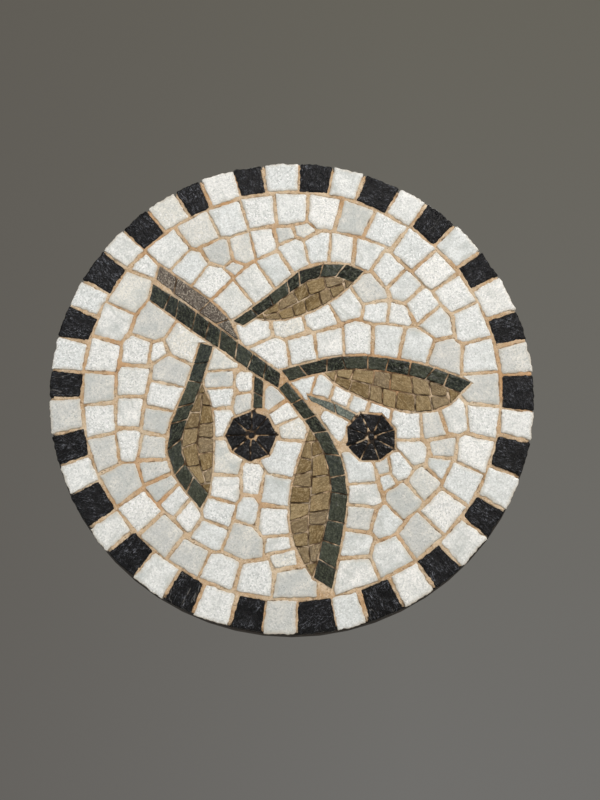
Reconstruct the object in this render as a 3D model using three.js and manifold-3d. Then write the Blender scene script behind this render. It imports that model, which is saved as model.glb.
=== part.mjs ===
// A round wall panel of hand-cut marble mosaic: a chequered border, a white field and an olive branch.
// Millimetres, +Z up. The back lies in the plane y = 0 against the wall and the faces look along -Y.
import * as THREE from "three";
import Module from "manifold-3d";
import { mergeVertices } from "three/addons/utils/BufferGeometryUtils.js";

const wasm = await Module();
wasm.setup();

// Driving dimensions, in millimetres
const panelRadius = 150;
const boardThickness = 8;
const boardProud = 1;
const boardBevel = 1;
const bedThickness = 2;
const bedInset = 0.6;
const tesseraThickness = 6.5;
const groutDepth = 0.8;
const rowGroutDepth = 1.2;
const borderDepth = 20.5;
const borderJoint = 1.7;
const ringTile = 19.2;
const fieldTile = 16.4;
const fieldJoint = 1.7;
const branchJoint = 0.9;
const smallestTile = 5;
const rimTile = 13.6;
const bladeTile = 11;
const stemTile = 11.5;
const barkTile = 17;
const rowJoint = 0.7;
const oliveRadius = 16;
const olivePipRadius = 2.5;
const fitGap = 0.3;
const pocketRoom = 0.1;
const handCut = 0.5;
const borderCut = 0.7;
const shortestSide = 1.8;
const shortestRowSide = 0.8;
const tipSlant = 4.5;
const outlineStep = 10;
const cutClear = 1;
const weldGap = 0.0001;

// Keyhole slot in the back of the board, for a screw with a round head
const keyholeEntryRadius = 5;
const keyholeSlotWidth = 5;
const keyholeTravel = 10;
const keyholeLip = 2.5;
const keyholeHeadRoom = 3;
const keyholeShareUp = 0.66;

// How finely round forms and curves are drawn
const boardCorners = 56;
const bedCorners = 88;
const keyholeCorners = 6;
const smooth = 14;

// The border: pairs of a black and a white tessera, laid wider down one side of the panel
const borderPairs = 22;
const firstBlackAngle = 101;
const borderSway = 5.3;
const borderWander = 0.5;
const borderWanderPace = 2.4;

// The hand of the mason, as shares: how joints lean and pieces differ in length, where a leaf's end
// pieces begin and its ends slant, and how far an olive's wedges stop short of its pip
const jointLean = 0.1;
const pieceUnevenness = 0.18;
const endPiece = 0.1;
const oliveUnevenness = 0.05;
const wedgeShortfall = 0.6;
const slantPower = 4;

// How a tessera of the field is set out, as shares of its own size or of a field tile
const squareReach = 0.8;
const neighbourReach = 2.4;
const ringRoom = 0.35;
const gapRoom = 0.5;
const gapSize = 0.6;
const gapTries = 3000;
const settling = 0.4;

// How strongly the sides of a tessera keep to its own axes: an odd power
const squareness = 3;

const bedBack = boardThickness + fitGap;
const tesseraFoot = bedBack + bedThickness;
const face = tesseraFoot + tesseraThickness;
const groutTop = face - groutDepth;
const rowGroutTop = face - rowGroutDepth;
const fieldRadius = panelRadius - borderDepth;

const stone = (name, color) => new THREE.MeshStandardMaterial({ name, color, roughness: 0.45 });
const white = stone("white marble", 0xe9e7e1);
const black = stone("black marble", 0x232326);
const green = stone("dark green stone", 0x30382f);
const olive = stone("olive-brown stone", 0x82734f);
const brown = stone("grey-brown stone", 0x736860);
const board = new THREE.MeshStandardMaterial({ name: "dark board", color: 0x2c2824, roughness: 0.8 });

// Small random amounts, the same in every run. Each part of the panel starts its own series
let seed = 11;
function startSeries(number) {
  seed = number;
}
function random() {
  seed = (seed + 0x6d2b79f5) | 0;
  let t = Math.imul(seed ^ (seed >>> 15), 1 | seed);
  t = (t + Math.imul(t ^ (t >>> 7), 61 | t)) ^ t;
  return ((t ^ (t >>> 14)) >>> 0) / 4294967296;
}
const jitter = (amount) => (random() * 2 - 1) * amount;
const times = (count, make) => Array.from({ length: count }, (_, i) => make(i));

// Plane geometry. A ring is a closed outline, anticlockwise, and a cell is a convex ring
const at = (x, z) => new THREE.Vector2(x, z);
const polar = (radius, angle) => at(radius * Math.cos(angle), radius * Math.sin(angle));
const mix = (a, b, share) => a.clone().lerp(b, share);
const cross = (a, b) => a.x * b.y - a.y * b.x;
const inwards = (a, b) => at(a.y - b.y, b.x - a.x).normalize();
const edges = (ring) => ring.map((p, i) => [p, ring[(i + 1) % ring.length]]);
const area = (ring) => edges(ring).reduce((sum, [p, q]) => sum + cross(p, q) / 2, 0);
const anticlockwise = (ring) => (area(ring) < 0 ? ring.slice().reverse() : ring);
const circle = (radius, corners) => times(corners, (i) => polar(radius, (2 * Math.PI * i) / corners));
const roughened = (ring, amount) => ring.map((p) => at(p.x + jitter(amount), p.y + jitter(amount)));

function centroid(cell) {
  const middle = at(0, 0);
  const whole = 6 * area(cell);
  for (const [p, q] of edges(cell)) middle.addScaledVector(p.clone().add(q), cross(p, q) / whole);
  return middle;
}

// A ring moved outwards by an amount, or inwards by a negative one
function offset(ring, amount) {
  return ring.map((p, i) => {
    const before = inwards(ring.at(i - 1), p);
    const both = before.add(inwards(p, ring[(i + 1) % ring.length]));
    return p.clone().addScaledVector(both, (-2 * amount) / Math.max(both.lengthSq(), 1));
  });
}

// The part of a cell on the side of a line that its normal points to
function cut(cell, point, normal) {
  const depth = cell.map((p) => p.clone().sub(point).dot(normal));
  return cell.flatMap((p, i) => {
    const j = (i + 1) % cell.length;
    const kept = depth[i] >= 0 ? [p] : [];
    if (depth[i] >= 0 === depth[j] >= 0) return kept;
    return [...kept, mix(p, cell[j], depth[i] / (depth[i] - depth[j]))];
  });
}

// A cell with all its sides moved inwards, where some of them may vanish
function shrunk(cell, amount) {
  return edges(cell).reduce((left, [a, b]) => {
    const normal = inwards(a, b);
    return cut(left, a.clone().addScaledVector(normal, amount), normal);
  }, cell);
}

// A cell whose corners lie no closer together than a nipper can cut
function tidied(cell, shortest) {
  let ring = cell;
  for (;;) {
    const i = ring.findIndex((p, k) => p.distanceTo(ring[(k + 1) % ring.length]) < shortest);
    if (i < 0 || ring.length < 4) return ring;
    const j = (i + 1) % ring.length;
    const middle = mix(ring[i], ring[j], 0.5);
    ring = ring.map((p, k) => (k === i ? middle : p)).filter((p, k) => k !== j);
  }
}

// The largest part of a cell that one straight cut leaves clear of a convex obstacle
function clearOf(cell, obstacle) {
  const isApart = (one, other) =>
    edges(one).some(([a, b]) => other.every((q) => q.clone().sub(a).dot(inwards(a, b)) < 1e-6));
  if (cell.length < 3 || isApart(cell, obstacle) || isApart(obstacle, cell)) return cell;
  const cuts = edges(obstacle).map(([a, b]) => cut(cell, a, inwards(a, b).negate()));
  return cuts.reduce((best, c) => (area(c) > area(best) ? c : best));
}

// How far a place is from the nearest side of some rings, and how that side runs
function nearestSide(p, rings) {
  let best = { distance: Infinity, angle: 0 };
  for (const [a, b] of rings.flatMap(edges)) {
    const along = b.clone().sub(a);
    const share = THREE.MathUtils.clamp(p.clone().sub(a).dot(along) / along.lengthSq(), 0, 1);
    const distance = p.distanceTo(mix(a, b, share));
    if (distance < best.distance) best = { distance, angle: along.angle() };
  }
  return best;
}

// A place is inside a ring if a level line from it crosses the ring's sides an odd number of times
function isInside(p, ring) {
  const crossed = edges(ring).filter(([a, b]) => {
    const share = (p.y - a.y) / (b.y - a.y);
    return a.y > p.y !== b.y > p.y && p.x < mix(a, b, share).x;
  });
  return crossed.length % 2 === 1;
}

// The picture is set out on a drawing whose field is 100 units in radius, and scaled to the panel's field
const drawn = (length) => (length / 100) * fieldRadius;
const spot = ([x, z]) => at(drawn(x), drawn(z));
const curve = (...places) => new THREE.SplineCurve(places.map(spot));

// A line beside a curve, on its right-hand side, or on its left where the widths are negative
function beside(line, startWidth, endWidth, startSlant) {
  const points = times(smooth + 1, (i) => {
    const share = i / smooth;
    const tangent = line.getTangentAt(share);
    const width = THREE.MathUtils.lerp(startWidth, endWidth, share);
    const place = line.getPointAt(share).add(at(tangent.y, -tangent.x).multiplyScalar(width));
    const slant = startSlant * (1 - share) ** slantPower - tipSlant * share ** slantPower;
    return place.addScaledVector(tangent, slant);
  });
  return new THREE.SplineCurve(points);
}

// The points that draw a line well enough
const along = (line) => line.getSpacedPoints(Math.max(1, Math.round(line.getLength() / outlineStep)));

// A row of cells between two lines, with joints that lean a little
function row(left, right, count, from = 0, to = 1) {
  const sections = times(count + 1, (i) => {
    const isEnd = i % count === 0;
    const share = from + ((to - from) * (i + (isEnd ? 0 : jitter(pieceUnevenness)))) / count;
    const lean = isEnd ? 0 : jitter(jointLean / count);
    return [left.getPointAt(share + lean), right.getPointAt(share - lean)];
  });
  const cells = sections.slice(1).map(([l, r], i) => anticlockwise([sections[i][1], r, l, sections[i][0]]));
  const ring = anticlockwise([...along(left), ...along(right).toReversed()]);
  return { cells, ring, first: sections[0], last: sections.at(-1) };
}

const piecesAlong = (length, tile) => Math.max(2, Math.round(length / tile));

// A leaf: a dark rim along its back, and a blade of two rows from there to its free edge
function leaf(back, startWidth, endWidth, startSlant, bladeStart, free) {
  const rib = beside(back, drawn(startWidth), drawn(endWidth), drawn(startSlant));
  const rim = row(back, rib, piecesAlong(back.getLength(), rimTile));
  const edge = new THREE.SplineCurve(
    times(smooth + 1, (i) => rib.getPointAt(THREE.MathUtils.lerp(bladeStart, 1, i / smooth))),
  );
  const hem = new THREE.SplineCurve([edge.getPointAt(0), ...free.points, edge.getPointAt(1)]);
  const middle = new THREE.SplineCurve(
    times(smooth + 1, (i) => mix(edge.getPointAt(i / smooth), hem.getPointAt(i / smooth), 0.5)),
  );
  const count = piecesAlong(middle.getLength() * (1 - 2 * endPiece), bladeTile);
  const inner = row(edge, middle, count, endPiece, 1 - endPiece);
  const outer = row(middle, hem, count + 1, endPiece, 1 - endPiece);
  const root = [edge.getPointAt(0), outer.first[1], inner.first[0]];
  const tip = [edge.getPointAt(1), inner.last[0], outer.last[1]];
  const cells = [root, tip].map(anticlockwise).concat(inner.cells, outer.cells);
  const ring = anticlockwise([...along(edge), ...along(hem).toReversed().slice(1, -1)]);
  return { rim, blade: { cells, ring, clearOf: rim.ring } };
}

// An olive: wedges round a small pip, with their joints at the corners of an uneven octagon
function fruit(place, turn) {
  const centre = spot(place);
  const wedges = 8;
  const spokes = times(wedges, (k) => {
    const angle = (2 * Math.PI * (k + turn + jitter(jointLean))) / wedges;
    return { angle, reach: oliveRadius * (1 + jitter(oliveUnevenness)) };
  });
  const rim = spokes.map(({ angle, reach }) => polar(reach, angle).add(centre));
  const pip = spokes.map(({ angle }) => polar(olivePipRadius, angle).add(centre));
  const cells = edges(rim).map(([a, b], k) => {
    const start = olivePipRadius * (1 + wedgeShortfall * random());
    const inner = [k, (k + 1) % wedges].map((n) => polar(start, spokes[n].angle).add(centre));
    return [inner[0], a, b, inner[1]];
  });
  return { cells: [...cells, pip], ring: rim };
}

// The olive branch: a bare stem above a green one, four leaves and two olives on their stalks
const upperLeaf = leaf(
  curve([-28.6, 33], [-10, 47.1], [6.9, 60.6], [24.7, 62.5], [36, 58.7]),
  4.9, 7.7, 2.6, 0.1,
  curve([-5, 33.7], [7.7, 37.1], [20.1, 44]),
);
const rightLeaf = leaf(
  curve([-5, 8.4], [5, 11.5], [15.4, 14], [28.6, 15.8], [41.7, 15], [64.9, 10.8], [86.5, 2.5]),
  6.4, 7.3, 1.8, 0.2,
  curve([21.5, 1.2], [32, -4.2], [44, -9.2], [56, -12.2], [67, -11.6], [75.5, -8.4]),
);
const leftLeaf = leaf(
  curve([-44.2, 22.3], [-50.2, 1.5], [-58.7, -22.4], [-56.4, -40.2], [-42.5, -58.7]),
  -6.6, -7.3, 0, 0.24,
  curve([-37.8, -11.6], [-36.9, -30.1], [-37.5, -44]),
);
const lowerLeaf = leaf(
  curve([-2.2, 3.1], [4.4, -4.8], [10, -11.8], [17, -21], [22.3, -31], [26, -47], [25, -63], [18.5, -95.5]),
  5.4, 9.6, 0, 0.25,
  curve([4.8, -31], [1.6, -41], [-0.5, -52], [-1.2, -63], [1.4, -75.7]),
);
const stemLine = [
  curve([-68, 52.5], [-49.4, 40.2], [-39.4, 32.4], [-30.9, 26.3], [-13.9, 13.1], [-4.8, 6.6]),
  curve([-69.5, 44], [-54, 32.4], [-44.8, 25.5], [-34, 18.2], [-17.8, 6.5], [-6.3, -0.6]),
];
const barkLine = [
  curve([-64.9, 61.8], [-51, 51.6], [-38.6, 42.6], [-30, 33.6], [-25.4, 23.2]),
  curve([-66.6, 54.1], [-54.4, 44.3], [-43.7, 36.2], [-35.1, 30.3], [-26.8, 23.7]),
];
const leftStalkLine = [curve([-18, 6.2], [-18.5, -10.4]), curve([-13.4, 3.2], [-13.9, -10.8])];
const rightStalkLine = [
  curve([6.4, -3.4], [15.8, -5.7], [30.8, -13.4]),
  curve([9, -7.3], [16.2, -10.7], [28.4, -16.8]),
];

const stemPieces = piecesAlong(stemLine[0].getLength(), stemTile);
const barkPieces = piecesAlong(barkLine[0].getLength(), barkTile);
const picture = {
  branch_bare_stem: { ...row(...barkLine, barkPieces), material: brown },
  branch_green_stem: { ...row(...stemLine, stemPieces), material: green },
  upper_leaf_rim: { ...upperLeaf.rim, material: green },
  upper_leaf_blade: { ...upperLeaf.blade, material: olive },
  right_leaf_rim: { ...rightLeaf.rim, material: green },
  right_leaf_blade: { ...rightLeaf.blade, material: olive },
  left_leaf_rim: { ...leftLeaf.rim, material: green },
  left_leaf_blade: { ...leftLeaf.blade, material: olive },
  lower_leaf_rim: { ...lowerLeaf.rim, material: green },
  lower_leaf_blade: { ...lowerLeaf.blade, material: olive },
  left_olive: { ...fruit([-19.1, -23.5], 0), material: green },
  right_olive: { ...fruit([37.7, -24.2], 0.45), material: green },
  left_olive_stalk: { ...row(...leftStalkLine, 2), material: green },
  right_olive_stalk: { ...row(...rightStalkLine, 2), material: green },
};
const zones = Object.values(picture);
const outlines = zones.map((zone) => zone.ring);
const branchCells = zones.flatMap((zone) => zone.cells);
const obstacles = branchCells.map((cell) => offset(cell, fieldJoint - rowJoint / 2));

// The white field is laid in courses: round the border, along the branch, and then in what is left.
// Each course has its number of tesserae, their size and the places that its middle line runs through,
// in the drawing's units
const courses = [
  [3, 13.1, [-50.2, 60.2], [-39.4, 53.3], [-31.7, 44.8]],
  [6, 12.4, [-18.5, 54.1], [-6.9, 62.5], [6.2, 70.3], [18.5, 70.3], [37.1, 68.7]],
  [3, 11.6, [-34.7, 68.7], [-15.4, 73.4]],
  [1, 5.4, [-28.6, 60.2]],
  [4, 13.1, [47.1, 58.7], [54.8, 51], [71.4, 33]],
  [5, 11.6, [-17, 28.6], [-0.8, 30.1], [17.8, 35.9], [38.6, 49.4]],
  [2, 9.3, [40.9, 37.1], [52.9, 35.9]],
  [7, 13.9, [-9.7, 18.1], [17, 22.4], [48.4, 22.4], [72.9, 14.4]],
  [2, 14.7, [-68, 30.1], [-54.1, 21.6]],
  [4, 13.1, [-59.5, 7.7], [-62.5, -6.2], [-66.4, -29.3]],
  [4, 10.8, [-64.9, -40.9], [-63.3, -49.4], [-48.6, -62.5]],
  [4, 13.1, [-75.3, 18.9], [-77, 3.1], [-78, -28.6]],
  [4, 10, [-34, 13.1], [-33.2, 3.1], [-32.4, -13.9]],
  [1, 6.9, [-21.6, 1.5]],
  [3, 13.1, [-30.9, -36.3], [-30.9, -49.4], [-34.7, -60.2]],
  [3, 7.7, [-8.5, -6.2], [-3.1, -12.4], [-0.8, -20.1]],
  [3, 13.9, [-3.9, -34], [-7.7, -48.6], [-8.5, -64.1]],
  [2, 8.5, [-7.7, -75.7], [-6.2, -82.6]],
  [2, 10, [-17.8, -44.8], [-20.1, -59.5]],
  [2, 14.7, [-37.8, -70.3], [-23.9, -75.7]],
  [5, 8.5, [4.2, 0.8], [12.7, -1.2], [43.2, -10.8]],
  [1, 9.3, [20.8, -17]],
  [3, 11.6, [55.6, -18.5], [66.4, -19.7], [77.2, -15.4]],
  [2, 10, [57.1, -32.4], [73.4, -30.1]],
  [2, 9.3, [51.4, -39], [69.2, -38.3]],
  [2, 6.2, [43.2, -37.8], [44.8, -44.8]],
  [3, 12.4, [63.3, -46.3], [51.4, -56], [43.2, -64.9]],
  [4, 12.4, [32, -39.8], [33.6, -52.5], [30.9, -74.9]],
];

const seeds = [];
const isOnBranch = (p) => outlines.some((ring) => isInside(p, ring));
const clearance = (p) => (isOnBranch(p) ? 0 : nearestSide(p, outlines).distance);
function isFree(place, size, room, apart) {
  const isOpen = fieldRadius - place.length() > room && clearance(place) > room;
  return isOpen && seeds.every((other) => other.place.distanceTo(place) > apart * (size + other.size));
}

function plantRing() {
  const radius = fieldRadius - ringTile / 2 - fieldJoint;
  const count = Math.round((2 * Math.PI * radius) / (ringTile + fieldJoint));
  for (let i = 0; i < count; i += 1) {
    const place = polar(radius, (2 * Math.PI * (i + jitter(jointLean))) / count);
    const isOpen = isFree(place, ringTile, ringTile * ringRoom, 0);
    if (isOpen) seeds.push({ place, size: ringTile, angle: place.angle() });
  }
}
function plantAlone(place, size) {
  seeds.push({ place, size, angle: nearestSide(place, outlines).angle });
}
function plantCourse([count, units, ...places]) {
  const size = drawn(units);
  if (count === 1) {
    plantAlone(spot(places[0]), size);
    return;
  }
  const line = curve(...places);
  for (let i = 0; i < count; i += 1) {
    const share = i / (count - 1);
    seeds.push({ place: line.getPointAt(share), size, angle: line.getTangentAt(share).angle() });
  }
}
function plantGaps(size, tries) {
  for (let i = 0; i < tries; i += 1) {
    const place = polar(fieldRadius * Math.sqrt(random()), 2 * Math.PI * random());
    if (isFree(place, size, size * gapRoom, gapRoom)) plantAlone(place, size);
  }
}

// The way from one seed to another, drawn towards the axes that its stones are cut along
function squared(way, angle) {
  const middle = at(0, 0);
  const local = way.clone().rotateAround(middle, -angle);
  const pulled = at(local.x ** squareness, local.y ** squareness);
  return pulled.normalize().rotateAround(middle, angle);
}

// The cell of one seed: a square along its course, cut by its neighbours and the border
function cellOf(own) {
  const half = own.size * squareReach;
  const corner = (k) => polar(half * Math.SQRT2, own.angle + ((k + 0.5) * Math.PI) / 2).add(own.place);
  const outwards = own.place.clone().normalize();
  const edge = outwards.clone().setLength(fieldRadius - fieldJoint / 2);
  let cell = cut(times(4, corner), edge, outwards.negate());
  for (const other of seeds) {
    const way = other.place.clone().sub(own.place);
    if (other === own || way.length() > neighbourReach * fieldTile) continue;
    const normal = squared(way, own.angle).add(squared(way, other.angle)).normalize();
    const border = mix(own.place, other.place, own.size / (own.size + other.size));
    cell = cut(cell, border.addScaledVector(normal, -fieldJoint / 2), normal.negate());
  }
  return cell;
}
const clearCellOf = (own) => obstacles.reduce(clearOf, cellOf(own));

function relax(rounds) {
  for (let i = 0; i < rounds; i += 1) {
    const cells = seeds.map(clearCellOf);
    cells.forEach((cell, k) => {
      if (cell.length > 2) seeds[k].place.lerp(centroid(cell), settling);
    });
  }
}
startSeries(12);
plantRing();
courses.forEach(plantCourse);
relax(2);
plantGaps(fieldTile * gapSize, gapTries);
relax(1);
const fieldCells = seeds
  .map(cellOf)
  .filter((cell) => cell.length > 2)
  .map((cell) => roughened(tidied(cell, shortestSide), handCut));

// The border's joints, as angles in radians
function borderAngle(i) {
  const share = i / (2 * borderPairs);
  const sway = borderSway * Math.sin(Math.PI * share);
  const wander = borderWander * Math.sin(i * borderWanderPace);
  return THREE.MathUtils.degToRad(firstBlackAngle - 360 * share - sway + wander);
}
startSeries(13);
const borderCells = times(2 * borderPairs, (i) => {
  const [from, to] = [borderAngle(i + 0.5), borderAngle(i - 0.5)];
  const inner = (fieldRadius + fieldJoint / 2 - borderJoint / 2) / Math.cos((to - from) / 2);
  const outer = panelRadius + borderJoint / 2;
  const arc = times(3, (k) => polar(outer, THREE.MathUtils.lerp(from, to, k / 2)));
  const cell = shrunk([polar(inner, from), ...arc, polar(inner, to)], borderJoint / 2);
  return roughened(cell, borderCut).map((p) => p.clampLength(0, panelRadius));
});

// Solids
function solid(geometry) {
  geometry.deleteAttribute("normal");
  geometry.deleteAttribute("uv");
  const merged = mergeVertices(geometry, weldGap);
  const vertProperties = merged.attributes.position.array;
  const triVerts = Uint32Array.from(merged.index.array);
  return new wasm.Manifold(new wasm.Mesh({ numProp: 3, vertProperties, triVerts }));
}

function prism(ring, from, to) {
  const settings = { depth: to - from, bevelEnabled: false };
  return solid(new THREE.ExtrudeGeometry(new THREE.Shape(ring), settings).translate(0, 0, from));
}

function mesh(name, body, material) {
  const { vertProperties, triVerts } = body.getMesh();
  const geometry = new THREE.BufferGeometry();
  geometry.setAttribute("position", new THREE.BufferAttribute(vertProperties, 3));
  geometry.setIndex(new THREE.BufferAttribute(triVerts, 1));
  geometry.computeVertexNormals();
  const made = new THREE.Mesh(geometry, material);
  made.name = name;
  return made;
}

const joined = (solids) => solids.reduce((all, one) => all.add(one));

// Every tessera has its own face, and those of one zone meet at their feet
function zoneSolid({ ring, cells, clearOf: neighbour }) {
  const outline = offset(ring, pocketRoom - fitGap);
  const heads = cells
    .map((cell) => tidied(shrunk(cell, rowJoint / 2), shortestRowSide))
    .filter((cell) => cell.length > 2)
    .map((cell) => prism(roughened(cell, rowJoint / 4), rowGroutTop - groutDepth, face));
  const kept = joined(heads).intersect(prism(outline, bedBack, face));
  const whole = prism(outline, tesseraFoot, rowGroutTop).add(kept);
  return neighbour ? whole.subtract(prism(offset(neighbour, pocketRoom), bedBack, face + cutClear)) : whole;
}

// The white tesserae are cut to the outline of the branch, and what is too small to set is left out
function fieldTesserae() {
  const branch = joined(outlines.map((ring) => prism(offset(ring, branchJoint), bedBack, face + cutClear)));
  const least = smallestTile ** 2 * tesseraThickness;
  const cutToFit = (cell) => prism(cell, tesseraFoot, face).subtract(branch).decompose();
  return fieldCells.flatMap(cutToFit).filter((body) => body.volume() > least);
}

// The mortar has a pocket for each piece of its own, and the white tesserae of the field stand in it
function fieldSolid() {
  const bed = prism(circle(panelRadius - bedInset, bedCorners), bedBack, groutTop);
  const pockets = [
    ...outlines.map((ring) => offset(ring, pocketRoom)),
    ...borderCells.map((cell) => offset(cell, fitGap)),
  ].map((ring) => prism(ring, tesseraFoot - fitGap, face + cutClear));
  return fieldTesserae().reduce((all, one) => all.add(one), bed.subtract(joined(pockets)));
}

function stadium(radius, travel, from, to) {
  const shape = new THREE.Shape();
  const height = keyholeShareUp * panelRadius;
  shape.absarc(0, height + travel, radius, 0, Math.PI);
  shape.absarc(0, height, radius, Math.PI, 2 * Math.PI);
  const settings = { depth: to - from, bevelEnabled: false, curveSegments: keyholeCorners };
  return solid(new THREE.ExtrudeGeometry(shape, settings).translate(0, 0, from));
}

// The screw's head goes in at the round end, and its neck slides up between the lips
function keyhole() {
  const depth = keyholeLip + keyholeHeadRoom;
  const entry = stadium(keyholeEntryRadius, 0, -cutClear, depth);
  const slot = stadium(keyholeSlotWidth / 2, keyholeTravel, -cutClear, depth);
  return entry.add(slot).add(stadium(keyholeEntryRadius, keyholeTravel, keyholeLip, depth));
}

function boardSolid() {
  const radius = panelRadius + boardProud;
  const profile = [
    [0, 0], [radius - boardBevel, 0], [radius, boardBevel],
    [radius, boardThickness - boardBevel], [radius - boardBevel, boardThickness], [0, boardThickness],
  ].map(([r, depth]) => at(r, depth));
  return solid(new THREE.LatheGeometry(profile, boardCorners).rotateX(Math.PI / 2)).subtract(keyhole());
}

const panel = new THREE.Group();
panel.rotation.x = Math.PI / 2;
panel.add(mesh("backing_board", boardSolid(), board));
panel.add(mesh("mortar_and_white_field", fieldSolid(), white));
for (const [name, zone] of Object.entries(picture)) panel.add(mesh(name, zoneSolid(zone), zone.material));
borderCells.forEach((cell, i) => {
  const colour = i % 2 ? "white" : "black";
  const name = `border_${colour}_${String(Math.floor(i / 2) + 1).padStart(2, "0")}`;
  panel.add(mesh(name, prism(cell, tesseraFoot, face), i % 2 ? white : black));
});

export default panel;
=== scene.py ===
# %% [markdown]
# A round wall mosaic of marble
#
# The panel is a disc of hand-cut stones bedded in sandy mortar on a dark board. Blender gets the
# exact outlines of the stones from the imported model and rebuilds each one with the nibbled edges,
# worn arrises and uneven faces of real marble. Starting from those outlines keeps every stone in its
# own place, so nothing has to be fitted by eye.

import math
import random

import bmesh
import bpy
import numpy as np
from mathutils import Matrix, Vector, noise
from mathutils.geometry import delaunay_2d_cdt


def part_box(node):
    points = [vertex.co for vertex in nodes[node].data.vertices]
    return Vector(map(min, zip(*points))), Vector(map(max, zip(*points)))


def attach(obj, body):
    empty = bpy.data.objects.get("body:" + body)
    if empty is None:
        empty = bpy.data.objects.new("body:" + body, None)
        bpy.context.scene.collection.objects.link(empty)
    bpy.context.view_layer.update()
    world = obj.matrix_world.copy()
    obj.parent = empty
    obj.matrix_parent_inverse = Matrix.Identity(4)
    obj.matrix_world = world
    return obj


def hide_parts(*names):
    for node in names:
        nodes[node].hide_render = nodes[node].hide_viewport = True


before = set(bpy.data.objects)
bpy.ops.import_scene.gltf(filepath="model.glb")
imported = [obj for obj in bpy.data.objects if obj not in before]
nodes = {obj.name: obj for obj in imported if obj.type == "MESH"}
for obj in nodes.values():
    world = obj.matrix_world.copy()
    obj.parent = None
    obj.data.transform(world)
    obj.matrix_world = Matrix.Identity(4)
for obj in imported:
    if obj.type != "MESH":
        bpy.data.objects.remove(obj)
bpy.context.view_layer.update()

# %% [markdown]
# The photograph looks slightly up at the panel from below its middle. A camera at that place, with a
# lens as long as the perspective asks for, gives the same ellipse. The small shift only places the
# panel in the picture, as a cropped photograph does.

# %% Camera
MM = 0.001
FACE = -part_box("border_white_01")[0].y / MM
DISTANCE = 0.7
LOOKING_UP = math.radians(13.853)
camera_data = bpy.data.cameras.new("camera")
camera_data.sensor_width = 36
camera_data.lens = 50.91
camera_data.shift_x = 0.0103
camera_data.shift_y = -0.0164
camera = bpy.data.objects.new("camera", camera_data)
bpy.context.scene.collection.objects.link(camera)
camera.location = (0, -FACE * MM - DISTANCE * math.cos(LOOKING_UP), -DISTANCE * math.sin(LOOKING_UP))
camera.rotation_euler = (math.pi / 2 + LOOKING_UP, 0, 0)
bpy.context.scene.camera = camera
print("stones' faces are", round(FACE, 2), "mm from the wall")

# %% [markdown]
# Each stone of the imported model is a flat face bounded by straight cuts. Welding the vertices and
# walking round every island of faces that lies at the front gives the stones' outlines back, in
# millimetres, without a list of points in this file. Every outline starts at its leftmost corner and
# the outlines are sorted, so that each stone gets the same wear every time the file is run.

# %% Outlines of the stones
WELD = 0.002
ON_FACE = 0.05
SMALLEST = 2


def front_outlines(name):
    mesh = bmesh.new()
    mesh.from_mesh(nodes[name].data)
    bmesh.ops.remove_doubles(mesh, verts=mesh.verts, dist=WELD * MM)
    facing = [f for f in mesh.faces
              if f.normal.y < -0.99 and abs(f.calc_center_median().y / MM + FACE) < ON_FACE]
    front = set(facing)
    following = {}
    for face in facing:
        for loop in face.loops:
            if sum(other in front for other in loop.edge.link_faces) == 1:
                following[loop.vert] = loop.link_loop_next.vert
    outlines = []
    while following:
        start = next(iter(following))
        ring = [start]
        place = following.pop(start)
        while place is not start:
            ring.append(place)
            place = following.pop(place)
        outline = np.array([(v.co.x / MM, v.co.z / MM) for v in ring])
        leftmost = int(np.lexsort((outline[:, 1], outline[:, 0]))[0])
        outlines.append(np.roll(outline, -leftmost, axis=0))
    mesh.free()
    return sorted(outlines, key=lambda outline: tuple(outline[0]))


def signed_area(ring):
    x, z = ring[:, 0], ring[:, 1]
    return (x * np.roll(z, -1) - z * np.roll(x, -1)).sum() / 2


stones = {}
for name in sorted(nodes):
    if name != "backing_board":
        rings = [r if signed_area(r) > 0 else r[::-1] for r in front_outlines(name)]
        stones[name] = [r for r in rings if signed_area(r) > SMALLEST]
print("stones:", sum(len(rings) for rings in stones.values()))

# %% [markdown]
# A mason splits each tessera with a hammer or nippers, so its sides are never straight: they wander,
# and small flakes are missing at the arrises. A bevel modifier would wear every corner alike. Here
# the outline is given corners that are rounded unevenly, then divided finely, so that smooth noise
# can push it about.

# %% Outline of one stone
def chipped(corners, chip, step, dice):
    """Round off every corner by its own amount, and divide the sides into short steps."""
    points = []
    count = len(corners)
    for i in range(count):
        here, before, after = corners[i], corners[i - 1], corners[(i + 1) % count]
        back, on = before - here, after - here
        reach = chip * dice.uniform(0.5, 1.6)
        back_share = min(reach / np.linalg.norm(back), 0.3)
        on_share = min(reach / np.linalg.norm(on), 0.3)
        start, end = here + back * back_share, here + on * on_share
        points += [start, (start + end + 2 * here) / 4, end]
    fine = []
    for a, b in zip(points, points[1:] + points[:1]):
        parts = max(1, round(float(np.linalg.norm(b - a)) / step))
        fine += [a + (b - a) * k / parts for k in range(parts)]
    return np.array(fine)


def wander(points, size, seed):
    """Smooth noise at every point, between -1 and 1, with waves of the given size."""
    return np.array([noise.noise(Vector((p[0] / size, p[1] / size, seed))) for p in points])


def outward(ring):
    along = np.roll(ring, -1, axis=0) - np.roll(ring, 1, axis=0)
    normal = np.stack([along[:, 1], -along[:, 0]], axis=1)
    return normal / np.maximum(np.linalg.norm(normal, axis=1, keepdims=True), 1e-6)


def drawn_in(ring, middle, amount):
    way = ring - middle
    length = np.linalg.norm(way, axis=1, keepdims=True)
    return middle + way * (1 - np.minimum(np.asarray(amount).reshape(-1, 1) / length, 0.8))


sample = stones["border_white_01"][0]
sample_chipped = chipped(sample, 0.7, 0.8, random.Random(1))
print("a border stone has", len(sample), "corners and", len(sample_chipped), "points once it is chipped")

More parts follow.
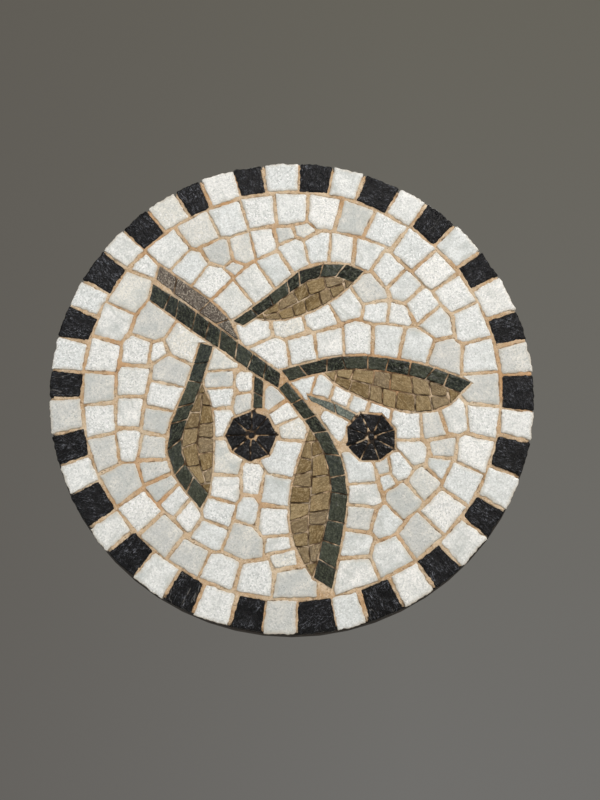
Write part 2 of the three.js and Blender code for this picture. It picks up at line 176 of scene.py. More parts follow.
# %% [markdown]
# Rings of points lead from the foot of the stone up its broken sides, over the worn arris and onto a
# face that is a little tilted and uneven, which is what makes a mosaic catch the light unevenly.
# Each ring also says how far it is from the stone's edge, which the materials use for dirt and wear.

# %% Rings of one stone
STONE_THICKNESS = 6.5
ARRIS_RINGS = ((0.9, 0.12, 0.1), (0.3, 0.55, 0.4), (0.0, 1.3, 1.0))
FACE_RINGS = ((0.72, 2.5), (0.42, 4.5), (0.16, 6.5))
MIDDLE_EDGE = 8.0
PROUDEST = 0.25


def stone_rings(corners, cut, dice):
    """The stone's rings from its foot to its face, each with its heights over the plane of the faces.
    Bites of 3.4 and 1.3 mm nibble the sides, and humps of 5 and 1.7 mm make the face uneven."""
    seed = dice.uniform(0, 900)
    ring = chipped(corners, cut["chip"], cut["step"], dice)
    nibbled = wander(ring, 3.4, seed) * 0.8 + wander(ring, 1.3, seed + 7) * 0.5
    ring = ring + outward(ring) * (nibbled * cut["ragged"])[:, None]
    middle = ring.mean(axis=0)
    tilt = np.array([dice.gauss(0, 1), dice.gauss(0, 1)]) * cut["tilt"]
    sunk = abs(dice.gauss(0, 1)) * cut["sunk"] + 0.06
    worn = 1 + 0.8 * wander(ring, 2.2, seed + 20)
    arris = cut["arris"]
    relief = cut["relief"]

    def face_height(points, relief):
        rough = wander(points, 5, seed + 40) + 0.4 * wander(points, 1.7, seed + 60)
        return np.minimum((points - middle) @ tilt + relief * rough - sunk, PROUDEST)

    layers = []
    for depth, inset in ((STONE_THICKNESS, 0.35), (STONE_THICKNESS / 2, 0.12), (arris * 2.2, 0)):
        points = drawn_in(ring, middle, inset)
        push = wander(points, 2.5, seed + 80 + depth) * cut["ragged"] * 0.5
        points = points + outward(points) * np.minimum(push, 0)[:, None]
        layers.append((points, face_height(ring, 0) - depth, 0))
    for depth, inset, edge in ARRIS_RINGS:
        points = drawn_in(ring, middle, inset * arris * worn)
        layers.append((points, face_height(points, relief * edge) - depth * arris * worn, edge))
    crest = layers[-1][0]
    for share, edge in FACE_RINGS:
        points = middle + (crest - middle) * share
        layers.append((points, face_height(points, relief), edge))
    return layers, middle, float(face_height(middle[None, :], relief)[0])


print("rings over the arris:", len(ARRIS_RINGS), "and on the face:", len(FACE_RINGS))

# %% [markdown]
# One mesh holds all the stones of a zone. Four values are stored on every point for the materials:
# the stone's tint and look, which are random, the distance from the stone's edge, and the point's
# place along and across its own stone. A pattern drawn in that place follows the stone's longer side
# and never runs on from one stone to the next, as paint would.

# %% Stones of one zone
def is_lowest(ring, rings):
    return ring[:, 1].mean() == min(other[:, 1].mean() for other in rings)


def build_stones(name, rings, cut, material):
    dice = random.Random(name)
    places, edges, tints, looks, owns, faces = [], [], [], [], [], []
    for corners in rings:
        layers, middle, height = stone_rings(corners, cut, dice)
        tint, look = dice.random(), dice.random()
        if name.startswith("branch_bare") and is_lowest(corners, rings):
            look = 1.0
        shift = np.array([dice.uniform(-1, 1) for _ in range(3)])
        spread = np.cov(corners.T)
        angle = 0.5 * math.atan2(2 * spread[0, 1], spread[0, 0] - spread[1, 1])
        along = np.array([math.cos(angle), 0, math.sin(angle)])
        across = np.array([-math.sin(angle), 0, math.cos(angle)])
        first, count = len(places), len(layers[0][0])
        for points, heights, edge in layers:
            places += [(p[0] * MM, -(FACE + h) * MM, p[1] * MM) for p, h in zip(points, heights)]
            edges += [edge] * count
        places.append((middle[0] * MM, -(FACE + height) * MM, middle[1] * MM))
        edges.append(MIDDLE_EDGE)
        added = np.array(places[first:])
        owns.append(np.stack([added @ along, added @ across, added[:, 1]], axis=1) + shift)
        tints += [tint] * len(added)
        looks += [look] * len(added)
        around = [(k, (k + 1) % count) for k in range(count)]
        for level in range(len(layers) - 1):
            low, high = first + level * count, first + (level + 1) * count
            faces += [(low + k, low + n, high + n, high + k) for k, n in around]
        last = first + (len(layers) - 1) * count
        faces += [(last + k, last + n, len(places) - 1) for k, n in around]
        faces.append(tuple(reversed(range(first, first + count))))
    mesh = bpy.data.meshes.new(name)
    mesh.from_pydata(places, [], faces)
    for title, values in (("edge", edges), ("tint", tints), ("look", looks)):
        stored = mesh.attributes.new(title, "FLOAT", "POINT")
        stored.data.foreach_set("value", np.array(values, np.float32))
    stored = mesh.attributes.new("own_place", "FLOAT_VECTOR", "POINT")
    stored.data.foreach_set("vector", np.concatenate(owns).astype(np.float32).ravel())
    mesh.shade_smooth()
    mesh.materials.append(material)
    piece = bpy.data.objects.new(name, mesh)
    bpy.context.scene.collection.objects.link(piece)
    return piece


print("stones of bark, of which the lowest is an odd one:", len(stones["branch_bare_stem"]))

# %% [markdown]
# Every finish below is drawn by nodes, because a pattern that is computed stays sharp at any
# distance. The colours are picked as ordinary sRGB hex values, and shaders want linear ones. One
# function adds a node. What it is given for a socket is either a value, which is set there, or
# another node, which is linked to it.

# %% Colours and nodes
def linear(hex_colour):
    parts = [int(hex_colour[i:i + 2], 16) / 255 for i in (1, 3, 5)]
    return tuple(c / 12.92 if c <= 0.04045 else ((c + 0.055) / 1.055) ** 2.4 for c in parts) + (1,)


def join(tree, node, sockets):
    for key, value in sockets.items():
        if isinstance(value, bpy.types.Node):
            value = next(output for output in value.outputs if output.enabled)
        if isinstance(value, bpy.types.NodeSocket):
            tree.links.new(value, node.inputs[key])
        else:
            node.inputs[key].default_value = linear(value) if isinstance(value, str) else value


def add(tree, kind, sockets=None, **settings):
    made = tree.nodes.new("ShaderNode" + kind)
    for key, value in settings.items():
        setattr(made, key, value)
    join(tree, made, sockets or {})
    return made


print("mid grey is", round(linear("#808080")[0], 3), "in linear light")

# %% [markdown]
# A stone's colour is built up as a painter would: a ground, then one thin layer after another, each
# only where its pattern is strong. The size of every pattern is given in millimetres, and the scale
# that the node wants is the number of such features that lie side by side in a metre.

# %% Layers of a finish
def cells(size):
    return round(1 / (size * MM))


def layer(tree, base, colour, *shares):
    """Lay a colour over the base. Each share is a pattern, the span in which it counts and the
    strength at the two ends of that span. Several shares are multiplied."""
    strength = None
    for pattern, low, high, weak, strong in shares:
        share = add(tree, "MapRange", {"Value": pattern, "From Min": low, "From Max": high,
                                       "To Min": weak, "To Max": strong})
        if strength is None:
            strength = share
        else:
            strength = add(tree, "Math", {0: strength, 1: share}, operation="MULTIPLY")
    return add(tree, "Mix", {0: strength, 6: base, 7: colour}, data_type="RGBA")


def finish_of(name, roughness, ior=1.5, gloss=0.5):
    material = bpy.data.materials.new(name)
    material.use_nodes = True
    tree = material.node_tree
    shader = tree.nodes["Principled BSDF"]
    join(tree, shader, {"Roughness": roughness, "IOR": ior, "Specular IOR Level": gloss})
    return material, tree, shader


def stone_finish(name, roughness, ior=1.5, gloss=0.5):
    """A finish that reads the values which are stored on the stones."""
    material, tree, shader = finish_of(name, roughness, ior, gloss)
    stored = [add(tree, "Attribute", attribute_name=title) for title in ("tint", "look", "edge")]
    return material, tree, shader, *(value.outputs["Fac"] for value in stored)


def stone_place(tree, streak=1.0):
    """The place in the point's own stone. A streak above 1 draws patterns out along the stone."""
    place = add(tree, "Attribute", attribute_name="own_place").outputs["Vector"]
    return add(tree, "Mapping", {"Vector": place, "Scale": (1 / streak, 1, 1)})


print("a pattern of 0.8 mm has a scale of", cells(0.8))

# %% [markdown]
# White marble is a mass of calcite crystals, 0.5 to 2 mm across, and these stones are split, not
# polished. The eye sees sugar: each crystal breaks along its own plane, so some sparkle and some look
# grey. Cells of a Voronoi pattern 0.8 mm wide stand for the crystals and vary in brightness, gloss
# and slope, and the sparkle of the brightest is painted on as white highlights. Slow noise clouds
# some stones and draws veins along others. One stone in ten is cream and one in five is grey. Mortar
# dulls the margins, and the worn arrises are creamier than the face.

# %% White marble, split
CREAM_STONES = (0.68, 0.7)
GREY_STONES = (0.78, 0.8)


def white_marble():
    material, tree, shader, tint, look, edge = stone_finish("white_marble", 0.5, 1.49)
    place = stone_place(tree)
    crystals = add(tree, "TexVoronoi", {"Vector": place, "Scale": cells(0.8), "Randomness": 1})
    crystal = add(tree, "SeparateColor", {"Color": crystals.outputs["Color"]}).outputs
    clouds = add(tree, "TexNoise", {"Vector": place, "Scale": cells(10.5), "Detail": 5, "Roughness": 0.62})
    veins = add(tree, "TexNoise", {"Vector": stone_place(tree, 2.5), "Scale": cells(4.76), "Detail": 4,
                                   "Roughness": 0.6, "Distortion": 1.0})
    base = layer(tree, "#f6f6f2", "#e9edec", (tint, 0.1, 0.6, 0, 1))
    base = layer(tree, base, "#ebe7db", (tint, *CREAM_STONES, 0, 0.8))
    base = layer(tree, base, "#cbccc8", (tint, *GREY_STONES, 0, 1), (clouds, 0.36, 0.6, 0.3, 0.95))
    base = layer(tree, base, "#bfc5c2", (clouds, 0.42, 0.68, 0, 1), (look, 0.5, 1, 0.15, 1))
    base = layer(tree, base, "#bcc0bb", (veins, 0.5, 0.66, 0, 1), (look, 0.35, 0.95, 0.25, 0.75))
    base = layer(tree, base, "#b3b8b6", (crystal[1], 0.2, 1, 0, 0.6))
    by_look = add(tree, "MapRange", {"Value": look, "From Min": 0.2, "From Max": 0.8,
                                     "To Min": 0.55, "To Max": 0.1})
    by_tint = add(tree, "MapRange", {"Value": tint, "From Min": GREY_STONES[0], "From Max": GREY_STONES[1],
                                     "To Min": 0, "To Max": 0.5})
    flecked = add(tree, "Math", {0: by_look, 1: by_tint}, operation="MAXIMUM")
    base = layer(tree, base, "#969c9b", (crystal[0], 0.72, 1, 0, 1), (flecked, 0, 1, 0, 1))
    # Painted highlights: the brightest crystals are laid white as painted glints, fewer on grey stones.
    base = layer(tree, base, "#ffffff", (crystal[2], 0.8, 1, 0, 0.8), (look, 0.9, 0.3, 0.3, 1),
                 (tint, *GREY_STONES, 1, 0.3))
    base = layer(tree, base, "#c2bcae", (edge, 2.1, 0.9, 0, 1), (clouds, 0.35, 0.62, 0.1, 0.75))
    base = layer(tree, base, "#cfc6b6", (edge, 0.8, 0.2, 0, 0.7))
    roughness = add(tree, "MapRange", {"Value": crystal[1], "To Min": 0.28, "To Max": 0.62})
    bump = add(tree, "Bump", {"Height": crystal[2], "Strength": 0.5, "Distance": 0.16 * MM})
    join(tree, shader, {"Base Color": base, "Roughness": roughness, "Normal": bump})
    return material


white = white_marble()
print(white.name, "has", len(white.node_tree.nodes), "nodes")

# %% [markdown]
# The black border stones are a fine black marble. A split face is scored along one way: the scores
# are blue-grey and matt, and the stone between them and along the arrises is deep black. A few stones
# have one thin pale vein, which is drawn where a slow noise crosses one value.

# %% Black marble, split
VEIN_LEVEL = 0.52
VEIN_WIDTH = 0.004


def black_marble():
    material, tree, shader, tint, look, edge = stone_finish("black_marble", 0.55, 1.45, 0.2)
    scores = add(tree, "TexNoise", {"Vector": stone_place(tree, 2.4), "Scale": cells(1.053), "Detail": 5,
                                    "Roughness": 0.7, "Distortion": 1.4})
    clouds = add(tree, "TexNoise", {"Vector": stone_place(tree), "Scale": cells(6.67), "Detail": 5,
                                    "Roughness": 0.6})
    slow = add(tree, "TexNoise", {"Vector": stone_place(tree, 6.0), "Scale": cells(11.1), "Detail": 3})
    base = layer(tree, "#020203", "#0c0c0f", (tint, 0, 1, 0, 1))
    base = layer(tree, base, "#868a93", (scores, 0.53, 0.67, 0, 1), (clouds, 0.4, 0.64, 0.08, 1))
    from_vein = add(tree, "Math", {0: slow, 1: VEIN_LEVEL}, operation="SUBTRACT")
    from_vein = add(tree, "Math", {0: from_vein}, operation="ABSOLUTE")
    base = layer(tree, base, "#8f8d88", (from_vein, VEIN_WIDTH, 0, 0, 1), (look, 0.7, 0.85, 0, 0.45))
    base = layer(tree, base, "#030303", (edge, 1.3, 0.6, 0, 0.85))
    roughness = add(tree, "MapRange", {"Value": clouds, "From Min": 0.3, "From Max": 0.7,
                                       "To Min": 0.22, "To Max": 0.5})
    broken = add(tree, "Bump", {"Height": clouds, "Strength": 0.7, "Distance": 3.0 * MM})
    bump = add(tree, "Bump", {"Height": scores, "Normal": broken, "Strength": 0.7, "Distance": 0.8 * MM})
    join(tree, shader, {"Base Color": base, "Roughness": roughness, "Normal": bump})
    return material


black = black_marble()
print(black.name, "has", len(black.node_tree.nodes), "nodes")

# %% [markdown]
# The coloured stones come from one recipe, because they are all split from bedded stone. Clouds blend
# two colours, and each stone's tint moves it towards a darker or a paler one, and its look towards an
# odd one. Fine streaks follow the stone's longer side as its bedding does, grains of 0.7 mm speckle
# it, and broad hollows are left where flakes came off. The arris is drawn darker, and on some stones
# the nippers have bruised it pale.

# %% Recipe for the coloured stones
def coloured_stone(name, dark, main, pale, odd, arris, streak, speckle, bruised, roughness, hollow):
    material, tree, shader, tint, look, edge = stone_finish(name, roughness, 1.5, 0.25)
    clouds = add(tree, "TexNoise", {"Vector": stone_place(tree, 1.6), "Scale": cells(7.69), "Detail": 5,
                                    "Roughness": 0.65})
    streaks = add(tree, "TexNoise", {"Vector": stone_place(tree, streak), "Scale": cells(1.0), "Detail": 3,
                                     "Roughness": 0.6, "Distortion": 0.2})
    flakes = add(tree, "TexNoise", {"Vector": stone_place(tree), "Scale": cells(3.03), "Detail": 2})
    grains = add(tree, "TexVoronoi", {"Vector": stone_place(tree), "Scale": cells(0.6897)})
    grain = add(tree, "SeparateColor", {"Color": grains.outputs["Color"]}).outputs
    base = layer(tree, dark, main, (clouds, 0.35, 0.65, 0, 1))
    base = layer(tree, base, dark, (tint, 0.3, 0, 0, 0.45))
    base = layer(tree, base, pale, (tint, 0.4, 1, 0, 0.45))
    base = layer(tree, base, odd, (look, 0.55, 0.99, 0, 0.6))
    base = layer(tree, base, pale, (streaks, 0.5, 0.7, 0, 0.55))
    base = layer(tree, base, dark, (streaks, 0.46, 0.3, 0, 0.6))
    base = layer(tree, base, pale, (grain[0], 0.6, 1, 0, speckle))
    base = layer(tree, base, dark, (grain[1], 0.6, 1, 0, speckle))
    base = layer(tree, base, arris, (edge, 1, 0.35, 0, 0.85))
    base = layer(tree, base, pale, (streaks, 0.54, 0.66, 0, bruised), (edge, 2, 0.8, 0, 1))
    varied = add(tree, "MapRange", {"Value": clouds, "From Min": 0.3, "From Max": 0.7,
                                    "To Min": roughness - 0.08, "To Max": roughness + 0.12})
    broken = add(tree, "Bump", {"Height": flakes, "Strength": 0.6, "Distance": hollow * MM})
    bump = add(tree, "Bump", {"Height": streaks, "Normal": broken, "Strength": 0.5, "Distance": 0.3 * MM})
    join(tree, shader, {"Base Color": base, "Roughness": varied, "Normal": bump})
    return material


# %% [markdown]
# The stem and the backs of the leaves are a dark green serpentine, which is fine-grained and a little
# waxy, so it has the lowest roughness. The olives are a nearly black one. The leaves are an
# olive-brown limestone with clear bedding, the bark is a coarse speckled stone, and the stalk of the
# right olive is a paler grey-green marble.

# %% Coloured stones
green = coloured_stone("dark_green_serpentine", dark="#070905", main="#161911", pale="#5f6454",
                       odd="#343b38", arris="#050603", streak=3.0, speckle=0.5, bruised=0.9,
                       roughness=0.36, hollow=1.4)
fruit = coloured_stone("black_green_serpentine", dark="#010101", main="#050505", pale="#2c2b2e",
                       odd="#0c0c0c", arris="#010101", streak=2.0, speckle=0.25, bruised=0.0,
                       roughness=0.3, hollow=2.4)
olive = coloured_stone("olive_brown_limestone", dark="#5f4c2a", main="#877048", pale="#b3a07b",
                       odd="#7b7062", arris="#38280f", streak=4.0, speckle=0.5, bruised=0.3,
                       roughness=0.6, hollow=0.8)
brown = coloured_stone("grey_brown_stone", dark="#453c36", main="#7b7266", pale="#a59d8f",
                       odd="#3f4039", arris="#30271f", streak=1.5, speckle=1.0, bruised=0.0,
                       roughness=0.6, hollow=0.5)
grey_green = coloured_stone("grey_green_marble", dark="#3d4641", main="#667068", pale="#a5aa9e",
                            odd="#2c3632", arris="#151916", streak=3.0, speckle=0.6, bruised=0.4,
                            roughness=0.5, hollow=0.6)
print("coloured stones:", [stone.name for stone in (green, fruit, olive, brown, grey_green)])

# %% [markdown]
# The joints are a sandy cement mortar. It is matt, tan to orange, and its sand shows as grains of 0.3
# to 0.8 mm, which are drawn 0.7 mm wide so that they show. Between the stones of the branch it is
# browner with dirt, and between the wedges of the olives it is nearly black in places.

# %% Sandy cement mortar
def sandy_mortar():
    material, tree, shader = finish_of("sandy_mortar", 0.9, 1.45)
    place = add(tree, "TexCoord").outputs["Object"]
    dirt_and_shade = add(tree, "Attribute", attribute_name="dirt_and_shade").outputs["Fac"]
    patches = add(tree, "TexNoise", {"Vector": place, "Scale": cells(16.7), "Detail": 4, "Roughness": 0.6})
    rusty = add(tree, "TexNoise", {"Vector": place, "Scale": cells(45.5), "Detail": 3})
    sand = add(tree, "TexVoronoi", {"Vector": place, "Scale": cells(0.7143)})
    grain = add(tree, "SeparateColor", {"Color": sand.outputs["Color"]}).outputs
    base = layer(tree, "#b5946d", "#d4c1a5", (patches, 0.35, 0.65, 0, 1))
    base = layer(tree, base, "#e8dac4", (grain[0], 0.6, 1, 0, 0.4))
    base = layer(tree, base, "#96764f", (grain[1], 0.7, 1, 0, 0.35))
    # Painted shade: the rare darkest specks stand for small pits, with their shade painted in dark brown.
    base = layer(tree, base, "#5a4632", (grain[2], 0.95, 0.98, 0, 0.6))
    base = layer(tree, base, "#bb8a58", (rusty, 0.54, 0.68, 0, 0.65))
    # Dirt in the joints of the branch and olives darkens the mortar, and so does painted shade in thin
    # cracks beside the stones.
    base = layer(tree, base, "#54402a", (dirt_and_shade, 0, 1, 0, 1))
    base = layer(tree, base, "#17110c", (dirt_and_shade, 1, 1.35, 0, 0.9))
    bump = add(tree, "Bump", {"Height": grain[0], "Strength": 0.6, "Distance": 0.12 * MM})
    join(tree, shader, {"Base Color": base, "Normal": bump})
    return material


mortar = sandy_mortar()
print(mortar.name, "has", len(mortar.node_tree.nodes), "nodes")

# %% [markdown]
# The stones are made zone by zone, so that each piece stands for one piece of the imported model. How a
# zone is cut is given in millimetres: how far the corners are chipped, how ragged the sides are, how
# wide the worn arris is, how deep the face's relief is and how far a stone sinks. The border stones
# are the most ragged, and the rows of the branch are cut finer and laid closer.

# %% Cuts and stones
FIELD_CUT = {"chip": 0.95, "step": 0.85, "ragged": 0.55, "tilt": 0.013, "sunk": 0.12,
             "arris": 0.55, "relief": 0.14}
BORDER_CUT = dict(FIELD_CUT, ragged=0.8, step=0.8, chip=0.7)
ROW_CUT = dict(FIELD_CUT, chip=0.55, step=0.7, ragged=0.3, arris=0.32, tilt=0.018, relief=0.12)
BLADE_CUT = dict(ROW_CUT, ragged=0.26, chip=0.8, arris=0.28)
FRUIT_CUT = dict(ROW_CUT, ragged=0.3, chip=0.6, tilt=0.03, arris=0.36)


def finish_for(name):
    if "blade" in name:
        return olive, BLADE_CUT, "olive_stone"
    if "bare_stem" in name:
        return brown, ROW_CUT, "brown_stone"
    if name == "right_olive_stalk":
        return grey_green, ROW_CUT, "green_stone"
    if name.endswith("olive"):
        return fruit, FRUIT_CUT, "green_stone"
    if name.startswith("border_black"):
        return black, BORDER_CUT, "black_marble"
    if name.startswith("border_white"):
        return white, BORDER_CUT, "white_marble"
    if name == "mortar_and_white_field":
        return white, FIELD_CUT, "white_marble"
    return green, ROW_CUT, "green_stone"


stone_triangles = 0
for name, rings in stones.items():
    material, cut, slot = finish_for(name)
    title = "white_field" if name == "mortar_and_white_field" else name + "_stones"
    piece = build_stones(title, rings, cut, material)
    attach(piece, "root")
    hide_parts(name)
    stone_triangles += sum(len(p.vertices) - 2 for p in piece.data.polygons)
print("triangles of stone:", stone_triangles)

# %% [markdown]
# The mortar is one sheet that runs between all the stones, a little below their faces, and dives down
# beside them. To shape it, every point has to know how far it is from the stones round it, and
# whether it lies under one. The points are counted against each outline in turn, which is quick in
# numpy and needs no rays.

# %% Distance from an outline
def inside(points, ring):
    """Whether each point lies inside, by how often a line to the right crosses the outline."""
    x, z = points[:, 0], points[:, 1]
    hits = np.zeros(len(points), bool)
    for (ax, az), (bx, bz) in zip(ring, np.roll(ring, -1, axis=0)):
        if az != bz:
            crosses = (az > z) != (bz > z)
            hits ^= crosses & (x < (bx - ax) * (z - az) / (bz - az) + ax)
    return hits


def distance_to(points, ring):
    best = np.full(len(points), 1e9)
    for a, b in zip(ring, np.roll(ring, -1, axis=0)):
        way = b - a
        share = np.clip(((points - a) @ way) / (way @ way), 0, 1)
        best = np.minimum(best, np.linalg.norm(points - (a + share[:, None] * way), axis=1))
    return best


def rows_inside(ring, spacing, insets):
    rows = []
    for a, b in zip(ring, np.roll(ring, -1, axis=0)):
        length = float(np.linalg.norm(b - a))
        inward = np.array([a[1] - b[1], b[0] - a[0]]) / length
        count = max(1, round(length / spacing))
        shares = (np.arange(count) + 0.5) / count
        rows += [a + shares[:, None] * (b - a) + inward * inset for inset in insets]
    return np.concatenate(rows)


sample_depth = distance_to(sample.mean(axis=0)[None, :], sample)[0]
print("the middle of a border stone is", round(float(sample_depth), 1), "mm from its edge")

# %% [markdown]
# The sheet's points are a fine grid, shaken a little so that no pattern shows, and three rows of
# points inside the edge of every stone. The outer rows let some mortar smear over the arris, and the
# inner ones take the sheet down out of sight.

# %% Points of the mortar
MORTAR_RADIUS = 149.3
COVERED_RADIUS = 147.7
GRID_STEP = 0.7
ROW_SPACING = 0.8
ROW_INSETS = (0.25, 0.6, 1.0)
rng = np.random.default_rng(5)
line = np.arange(-150, 150, GRID_STEP)
grid = np.array(np.meshgrid(line, line)).reshape(2, -1).T
grid = grid + rng.uniform(-0.3, 0.3, grid.shape) * GRID_STEP
rows = [rows_inside(ring, ROW_SPACING, ROW_INSETS) for rings in stones.values() for ring in rings]
grid_count = len(grid)
points = np.concatenate([grid] + rows)
is_row = np.arange(len(points)) >= grid_count
kept = np.linalg.norm(points, axis=1) < COVERED_RADIUS - GRID_STEP
points, is_row = points[kept], is_row[kept]
print("points before thinning:", len(points))

# %% [markdown]
# Each point keeps its distance from the nearest and the second nearest stone, which together are the
# width of the joint, and how dirty the joints of those two zones are.

# %% The two nearest stones
FAR = 9.0
SEARCH = 4
BRANCH_DIRT = 1.0
OLIVE_DIRT = 1.2


def dirt_of(name):
    if name.startswith("border") or name == "mortar_and_white_field":
        return 0.0
    return OLIVE_DIRT if name.endswith("olive") else BRANCH_DIRT


nearest = np.full(len(points), FAR)
second = np.full(len(points), FAR)
nearest_dirt = np.zeros(len(points))
second_dirt = np.zeros(len(points))
depth_inside = np.zeros(len(points))
for name, rings in stones.items():
    dirt_and_shade = dirt_of(name)
    for ring in rings:
        low, high = ring.min(axis=0) - SEARCH, ring.max(axis=0) + SEARCH
        near = np.flatnonzero(((points > low) & (points < high)).all(axis=1))
        away = distance_to(points[near], ring)
        under = inside(points[near], ring)
        depth_inside[near[under]] = away[under]
        away = np.where(under, 0, away)
        closer = away < nearest[near]
        second[near] = np.where(closer, nearest[near], np.minimum(second[near], away))
        runner_up = np.where(away <= second[near], dirt_and_shade, second_dirt[near])
        second_dirt[near] = np.where(closer, nearest_dirt[near], runner_up)
        nearest_dirt[near] = np.where(closer, dirt_and_shade, nearest_dirt[near])
        nearest[near] = np.minimum(nearest[near], away)
print("points under a stone:", int((depth_inside > 0).sum()))

# %% [markdown]
# Under the middle of a stone a few points are enough, so the rest is thinned out. The mortar ends at
# a wavy rim. Where a border stone covers the rim it is drawn in, so that no mortar shows outside the
# stone. A Delaunay triangulation joins the points, which is simpler than cutting a sheet with nearly
# 300 outlines.

# %% Rim and triangulation
CLEAR_OF_STONE = 0.25
WELL_UNDER = 1.2
RIM_COUNT = 600
RIM_WAVES = 40
RIM_WANDER = 0.25
coarse = (rng.random(len(points)) < 0.03) & (depth_inside > WELL_UNDER)
keep = is_row | coarse | ((depth_inside == 0) & (nearest > CLEAR_OF_STONE))
points, nearest, second, nearest_dirt, second_dirt, depth_inside = (
    values[keep] for values in (points, nearest, second, nearest_dirt, second_dirt, depth_inside))
turn = np.arange(RIM_COUNT) * 2 * math.pi / RIM_COUNT
wave_places = [Vector((math.cos(t) * RIM_WAVES, math.sin(t) * RIM_WAVES, 3)) for t in turn]
rim_wave = np.array([noise.noise(wave_place) for wave_place in wave_places])
rim_way = np.stack([np.cos(turn), np.sin(turn)], axis=1)
covered = np.zeros(RIM_COUNT, bool)
for name, rings in stones.items():
    if name.startswith("border"):
        covered |= inside(rim_way * COVERED_RADIUS, rings[0])
rim_radius = np.where(covered, COVERED_RADIUS, MORTAR_RADIUS) - RIM_WANDER + RIM_WANDER * rim_wave
rim = rim_way * rim_radius[:, None]
flat = [Vector(p) for p in np.concatenate([rim, points])]
loop = [(k, (k + 1) % RIM_COUNT) for k in range(RIM_COUNT)]
flat_points, _, triangles, origin, _, _ = delaunay_2d_cdt(flat, loop, [], 1, 1e-5)
print("mortar points:", len(flat_points), "triangles:", len(triangles))

# %% [markdown]
# Where a joint is wide, the mortar stands almost as high as the stones, and in a narrow one it is
# drawn down by the sponge that wiped it. Dirt gathers in patches, and thin cracks beside the stones
# are darkened as painted shade.

# %% Surface of the mortar
SMEAR = 0.55
SUNK = 0.7
LEAST_SUNK = 0.15
DIVE = 2.6
NARROW_JOINT = 0.9
DIRTY_JOINT = 1.4
DIRTY_OLIVE_JOINT = 3


def ripple(p, size, level):
    return noise.noise(Vector((p.x / size, p.y / size, level)))


def within(value, low, high):
    return min(max(value, low), high)


joint = np.concatenate([np.full(RIM_COUNT, 1.0), nearest])
width = np.concatenate([np.full(RIM_COUNT, 2.0), nearest + second])
under = np.concatenate([np.where(covered, FAR, 0.0), depth_inside])
both_dirt = nearest_dirt * second_dirt
widest = np.where(both_dirt > 1.1, DIRTY_OLIVE_JOINT, DIRTY_JOINT)
dirt_and_shade = np.concatenate([np.zeros(RIM_COUNT), both_dirt * (nearest + second < widest)])
places, shades = [], []
for k, p in enumerate(flat_points):
    source = origin[k][0]
    rough = 0.12 * ripple(p, 1.6, 2) + 0.12 * ripple(p, 9, 5)
    filled = within((width[source] - NARROW_JOINT) / 1.6, 0, 1)
    sunk = max(SUNK - 0.25 * filled + 0.5 * ripple(p, 6, 11), LEAST_SUNK)
    if under[source] > SMEAR + 0.35 * ripple(p, 2.2, 17):
        sunk = DIVE
    places.append((p.x * MM, -(FACE - sunk + rough) * MM, p.y * MM))
    if dirt_and_shade[source] > BRANCH_DIRT:
        patchy = within(0.72 + 4.5 * ripple(p, 4, 41), 0, 1)
    else:
        patchy = within(0.42 + 2.4 * ripple(p, 5, 23), 0, 1)
    # Painted shade: thin dark cracks beside the stones stand for the shadow in the gap between mortar and
    # stone.
    crack_shade = 1.5 * ripple(p, 3, 31) * math.exp(-joint[source] / 0.4)
    shades.append(max(dirt_and_shade[source] * patchy, min(crack_shade, 1), 0))
print("darkest point:", round(float(max(shades)), 2))

# %% [markdown]
# The sheet is closed by a rim that leads back to the board and by one flat face behind, so that the
# mortar is a solid body, with no open edge to be seen from the side. It reaches 0.1 mm into the board.

# %% Mesh of the mortar
MORTAR_BACK = 7.9
RIM_STEP = 2.5
count = len(places)
for share, depth in ((0.999, MORTAR_BACK + RIM_STEP), (0.996, MORTAR_BACK)):
    places += [(x * share * MM, -depth * MM, z * share * MM) for x, z in rim]
shades += [0.0] * (2 * RIM_COUNT)
faces = [tuple(t) for t in triangles]
ring_of = {source[0]: k for k, source in enumerate(origin) if source and source[0] < RIM_COUNT}
for k, n in loop:
    faces.append((ring_of[k], count + k, count + n, ring_of[n]))
    faces.append((count + k, count + RIM_COUNT + k, count + RIM_COUNT + n, count + n))
faces.append(tuple(count + RIM_COUNT + k for k in range(RIM_COUNT)))
mesh = bpy.data.meshes.new("mortar_sheet")
mesh.from_pydata(places, [], faces)
stored = mesh.attributes.new("dirt_and_shade", "FLOAT", "POINT")
stored.data.foreach_set("value", np.array(shades, np.float32))
turned_out = bmesh.new()
turned_out.from_mesh(mesh)
bmesh.ops.recalc_face_normals(turned_out, faces=turned_out.faces)
turned_out.to_mesh(mesh)
turned_out.free()
mesh.shade_smooth()
mesh.materials.append(mortar)
mortar_sheet = bpy.data.objects.new("mortar_sheet", mesh)
bpy.context.scene.collection.objects.link(mortar_sheet)
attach(mortar_sheet, "root")
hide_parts("mortar_and_white_field")
print("faces of the mortar:", len(mesh.polygons))

# %% [markdown]
# The board is not seen in the photograph, apart from the dark line of its edge. It is taken as sealed
# plywood, stained dark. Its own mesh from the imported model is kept, because a sawn board has no
# finer shape, and only its finish is made here: wood fibres run up the board, and every second
# veneer, 1.6 mm thick, shows darker in the edge.

# %% Backing board
PLY = 1.6


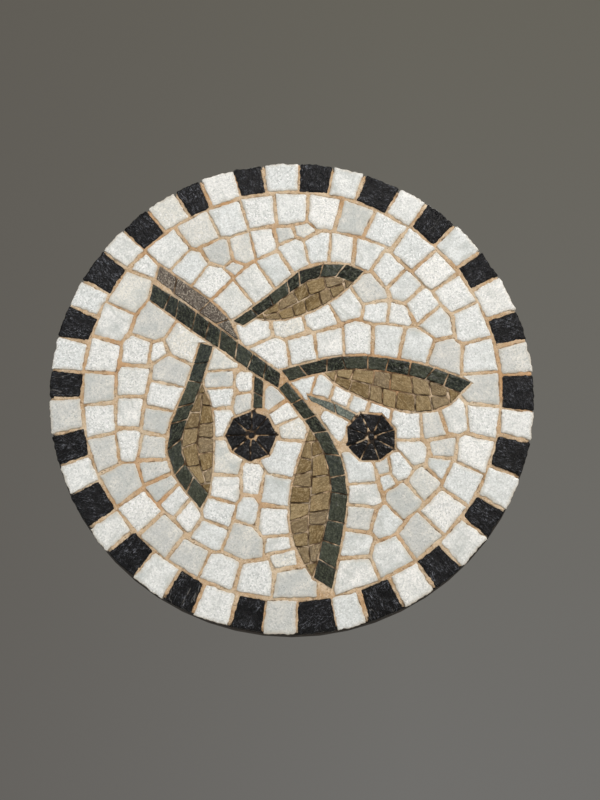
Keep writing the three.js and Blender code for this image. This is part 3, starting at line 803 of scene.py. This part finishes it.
def stained_plywood():
    material, tree, shader = finish_of("stained_plywood", 0.6, 1.5)
    place = add(tree, "TexCoord").outputs["Object"]
    stretched = add(tree, "Mapping", {"Vector": place, "Scale": (1, 1, 0.08)})
    fibres = add(tree, "TexNoise", {"Vector": stretched, "Scale": cells(1.429), "Detail": 4,
                                    "Roughness": 0.6})
    depth = add(tree, "SeparateXYZ", {"Vector": place}).outputs["Y"]
    veneer = add(tree, "Math", {0: depth, 1: 2 * PLY * MM}, operation="PINGPONG")
    base = layer(tree, "#1d1916", "#322b24", (fibres, 0.3, 0.7, 0, 1))
    base = layer(tree, base, "#120f0d", (veneer, 0.95 * PLY * MM, 1.05 * PLY * MM, 0, 0.5))
    bump = add(tree, "Bump", {"Height": fibres, "Strength": 0.4, "Distance": 0.1 * MM})
    join(tree, shader, {"Base Color": base, "Normal": bump})
    return material


board = nodes["backing_board"]
board.data.materials.clear()
board.data.materials.append(stained_plywood())
print("board:", board.name)

# %% [markdown]
# A pale floor lies well below the panel, and three soft lights stand for a studio: the strongest is
# high on the right, as the photograph's light is. Discs of more than a metre give soft shadows in the
# joints.

# %% Floor and lights
FLOOR_LEVEL = -0.5
FLOOR_REACH = 2


def soft_light(name, place, size, watts, colour):
    data = bpy.data.lights.new(name, "AREA")
    data.shape = "DISK"
    data.size = size
    data.energy = watts
    data.color = linear(colour)[:3]
    light = bpy.data.objects.new(name, data)
    light.location = place
    light.rotation_euler = (-Vector(place)).to_track_quat("-Z", "Y").to_euler()
    bpy.context.scene.collection.objects.link(light)


soft_light("window", (1.1, -1.3, 1.5), 1.2, 48, "#fffaf6")
soft_light("fill", (-1.4, -1.5, 0.5), 1.6, 16, "#f6f9ff")
soft_light("back", (0.3, 1.6, 1.2), 1.4, 10, "#ffffff")
floor_ends = ((-1, -1), (1, -1), (1, 1), (-1, 1))
corners = [(x * FLOOR_REACH, y * FLOOR_REACH, FLOOR_LEVEL) for x, y in floor_ends]
floor_mesh = bpy.data.meshes.new("floor")
floor_mesh.from_pydata(corners, [], [(0, 1, 2, 3)])
floor = bpy.data.objects.new("floor", floor_mesh)
bpy.context.scene.collection.objects.link(floor)
floor_finish, floor_tree, floor_shader = finish_of("pale_floor", 0.8)
join(floor_tree, floor_shader, {"Base Color": "#d9d7d2"})
floor_mesh.materials.append(floor_finish)
print("lights:", [light.name for light in bpy.data.lights])

# %% [markdown]
# The painted wall of the photograph is only a backdrop here, because the panel is also seen from
# behind. Its warm grey is darker towards the left, which is painted shade, and a little lighter and
# cooler towards the bottom.

# %% Backdrop
world = bpy.data.worlds.new("studio")
world.use_nodes = True
backdrop = world.node_tree
everywhere = add(backdrop, "TexCoord").outputs["Generated"]
direction = add(backdrop, "SeparateXYZ", {"Vector": everywhere}).outputs
shade = layer(backdrop, "#66635a", "#72716f", (direction["Z"], 0.6, -0.25, 0, 1))
# Painted shade: the backdrop is darker towards the left.
shade = layer(backdrop, shade, "#595550", (direction["X"], 0.1, -0.3, 0, 0.6))
join(backdrop, backdrop.nodes["Background"], {"Color": shade})
bpy.context.scene.world = world
bpy.context.scene.view_settings.view_transform = "Standard"
print("world:", bpy.context.scene.world.name)
